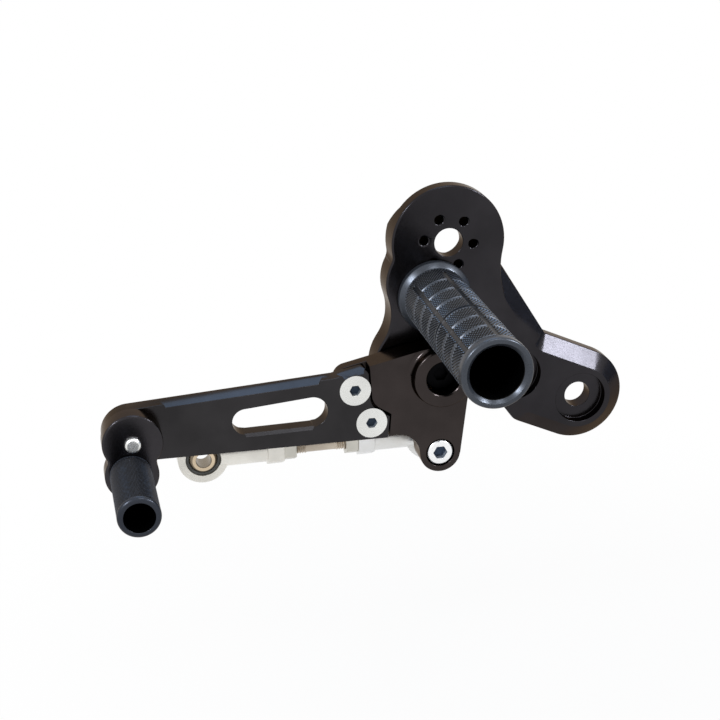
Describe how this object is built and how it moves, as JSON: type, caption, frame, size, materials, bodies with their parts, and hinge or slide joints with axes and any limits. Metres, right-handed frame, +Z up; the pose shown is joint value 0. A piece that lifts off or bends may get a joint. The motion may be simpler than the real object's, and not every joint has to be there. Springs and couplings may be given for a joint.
{
  "type": "motorbike rear set",
  "caption": "Left-hand motorbike rear set: a bevelled hanger plate with a fixed knurled footpeg, and a pivoting gear lever with an adjustable toe peg and a shift rod with ball ends.",
  "frame": {"origin": "midway between the two frame bolt holes, on the hanger plate's back face", "axes": "+X to the rear of the bike, +Y inboard along the frame bolts, +Z up; the pegs point along -Y"},
  "size_m": [0.2136, 0.1044, 0.1166],
  "materials": {
    "black_anodised": "black anodised, satin",
    "grip_anodised": "dark anodised, fine knurl",
    "bright_zinc": "bright zinc plated",
    "pale_zinc": "pale zinc plated",
    "yellow_zinc": "yellow zinc plated",
    "ball_steel": "polished bearing steel",
    "black_oxide": "black oxide",
    "ground_steel": "ground",
    "bronze": "sintered bronze",
    "bearing_liner": "low-friction bearing liner"
  },
  "bodies": {
    "hanger": {"hanger_plate": "black_anodised", "footpeg": "grip_anodised", "footpeg_bolt": "black_oxide", "thrust_washer": "bronze", "pivot_sleeve": "ground_steel", "pivot_bolt": "black_oxide"},
    "lever": {"lever_hub": "black_anodised", "pivot_bush": "bronze", "lever_arm": "black_anodised", "arm_screw_upper": "bright_zinc", "arm_screw_lower": "bright_zinc", "toe_carrier": "black_anodised", "toe_carrier_screw": "bright_zinc", "toe_peg_screw": "bright_zinc", "toe_peg": "grip_anodised", "ear_bolt": "bright_zinc", "rod_spacer": "pale_zinc", "ear_nut": "pale_zinc", "rear_ball": "ball_steel"},
    "rod": {"rear_liner": "bearing_liner", "rear_rod_end": "pale_zinc", "rear_jam_nut": "pale_zinc", "link_stud": "yellow_zinc", "front_jam_nut": "pale_zinc", "front_rod_end": "pale_zinc", "front_liner": "bearing_liner"},
    "swivel_ball": {"front_ball": "ball_steel"}
  },
  "joints": [
    {"name": "lever_pivot", "type": "hinge", "parent": "hanger", "child": "lever", "pos_m": [-0.0484, -0.015, 0.0139], "axis": [0, 1, 0], "range_deg": [-15, 15]},
    {"name": "rod_swing", "type": "hinge", "parent": "lever", "child": "rod", "pos_m": [-0.0481, -0.003, -0.0193], "axis": [0, 1, 0], "range_deg": [-110, 15]},
    {"name": "front_ball_swivel", "type": "hinge", "parent": "rod", "child": "swivel_ball", "pos_m": [-0.1403, -0.003, -0.0206], "axis": [0, 1, 0], "continuous": true}
  ]
}
